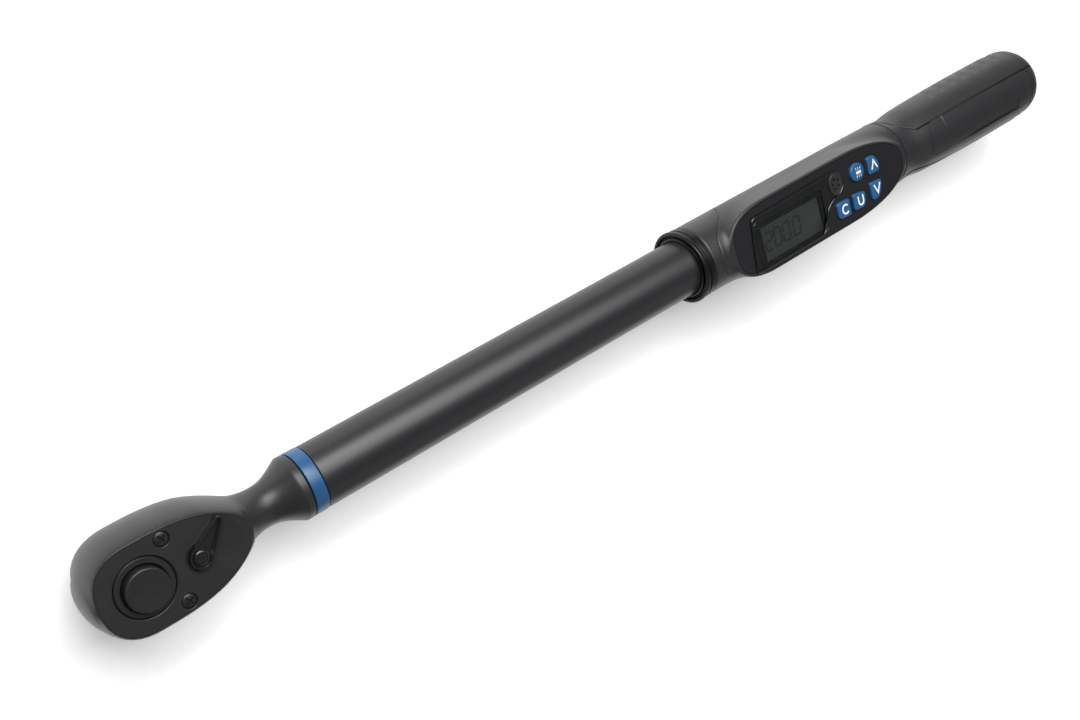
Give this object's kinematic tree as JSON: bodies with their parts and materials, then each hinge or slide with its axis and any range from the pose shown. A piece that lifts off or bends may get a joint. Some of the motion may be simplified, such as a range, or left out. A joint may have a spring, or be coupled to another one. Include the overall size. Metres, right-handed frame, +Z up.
{
  "type": "digital torque wrench",
  "caption": "Long torque wrench with a teardrop reversible ratchet head, square drive, round tube, display housing with keys, and a padded grip.",
  "frame": {"origin": "centre of the square drive's end face", "axes": "+X from the drive towards the grip, +Z up the drive axis towards the face with the lever and the display"},
  "size_m": [0.5535, 0.0396, 0.0461],
  "materials": {
    "black_coating": "satin black coating",
    "cover_black": "matte black oxide",
    "steel": "ground",
    "dark_steel": "black oxide",
    "blue": "satin blue",
    "housing": "fine matte texture",
    "panel": "satin",
    "gloss": "gloss black",
    "lens": "clear",
    "lcd": "grey green",
    "rubber": "soft matte",
    "board": "solder mask",
    "brass": "nickel on spring brass",
    "battery": "printed sleeve",
    "foil": "polyimide foil"
  },
  "bodies": {
    "wrench": {"ratchet_head": "black_coating", "outer_tube": "black_coating", "cover_plate": "cover_black", "pawl_pin": "steel", "sensor_beam": "steel", "beam_sleeve": "steel", "beam_pin_front": "steel", "beam_pin_rear": "steel", "switch_light": "steel", "switch_up": "steel", "switch_down": "steel", "switch_c": "steel", "switch_u": "steel", "cover_screw_left": "dark_steel", "cover_screw_right": "dark_steel", "housing_screw_1": "dark_steel", "housing_screw_2": "dark_steel", "grip_screw_1": "dark_steel", "grip_screw_2": "dark_steel", "blue_ring": "blue", "housing_upper": "housing", "housing_lower": "housing", "grip_shell_upper": "housing", "grip_shell_lower": "housing", "battery_tray": "housing", "face_panel": "panel", "buzzer_grille": "panel", "display_bezel": "gloss", "display_lens": "lens", "lcd_module": "lcd", "front_collar": "rubber", "grip_pad_left": "rubber", "grip_pad_right": "rubber", "gauge_wire": "rubber", "circuit_board": "board", "battery_contact_front": "brass", "battery_contact_rear": "brass", "battery_spring": "brass", "battery_1": "battery", "battery_2": "battery", "strain_gauge_left": "foil", "strain_gauge_right": "foil"},
    "drive": {"drive_gear": "dark_steel"},
    "release": {"quick_release_button": "cover_black", "release_pin": "steel", "release_spring": "steel"},
    "ball": {"detent_ball": "steel"},
    "lever": {"reversing_lever": "gloss", "selector_ball": "steel", "selector_spring": "steel"},
    "pawl": {"pawl": "dark_steel"},
    "door": {"battery_cover": "housing"},
    "key_light": {"button_light": "blue"},
    "key_up": {"button_up": "blue"},
    "key_down": {"button_down": "blue"},
    "key_c": {"button_c": "blue"},
    "key_u": {"button_u": "blue"}
  },
  "joints": [
    {"name": "drive_spin", "type": "hinge", "parent": "wrench", "child": "drive", "pos_m": [0, 0, 0.0275], "axis": [0, 0, 1], "continuous": true},
    {"name": "release_press", "type": "slide", "parent": "drive", "child": "release", "axis": [0, 0, -1], "range_m": [0, 0.0025], "stiffness_N_per_m": 900, "springref_m": -0.002, "deforming": ["release_spring"]},
    {"name": "ball_retract", "type": "slide", "parent": "drive", "child": "ball", "axis": [1, 0, 0], "range_m": [0, 0.0011]},
    {"name": "lever_swing", "type": "hinge", "parent": "wrench", "child": "lever", "pos_m": [0.021, 0, 0.0399], "axis": [0, 0, 1], "range_deg": [-84, 0]},
    {"name": "pawl_rock", "type": "hinge", "parent": "wrench", "child": "pawl", "pos_m": [0.0156, 0, 0.0275], "axis": [0, 0, 1], "range_deg": [0, 10]},
    {"name": "battery_cover_open", "type": "hinge", "parent": "wrench", "child": "door", "pos_m": [0.52, 0, 0.0457], "axis": [0, 1, 0], "range_deg": [0, 75]},
    {"name": "press_light", "type": "slide", "parent": "wrench", "child": "key_light", "axis": [0, 0, -1], "range_m": [0, 0.0008], "stiffness_N_per_m": 600, "springref_m": -0.0008},
    {"name": "press_up", "type": "slide", "parent": "wrench", "child": "key_up", "axis": [0, 0, -1], "range_m": [0, 0.0008], "stiffness_N_per_m": 600, "springref_m": -0.0008},
    {"name": "press_down", "type": "slide", "parent": "wrench", "child": "key_down", "axis": [0, 0, -1], "range_m": [0, 0.0008], "stiffness_N_per_m": 600, "springref_m": -0.0008},
    {"name": "press_c", "type": "slide", "parent": "wrench", "child": "key_c", "axis": [0, 0, -1], "range_m": [0, 0.0008], "stiffness_N_per_m": 600, "springref_m": -0.0008},
    {"name": "press_u", "type": "slide", "parent": "wrench", "child": "key_u", "axis": [0, 0, -1], "range_m": [0, 0.0008], "stiffness_N_per_m": 600, "springref_m": -0.0008}
  ],
  "couplings": [
    {"joint": "ball_retract", "follows": "release_press", "ratio": 0.44},
    {"joint": "pawl_rock", "follows": "lever_swing", "ratio": -0.119}
  ]
}
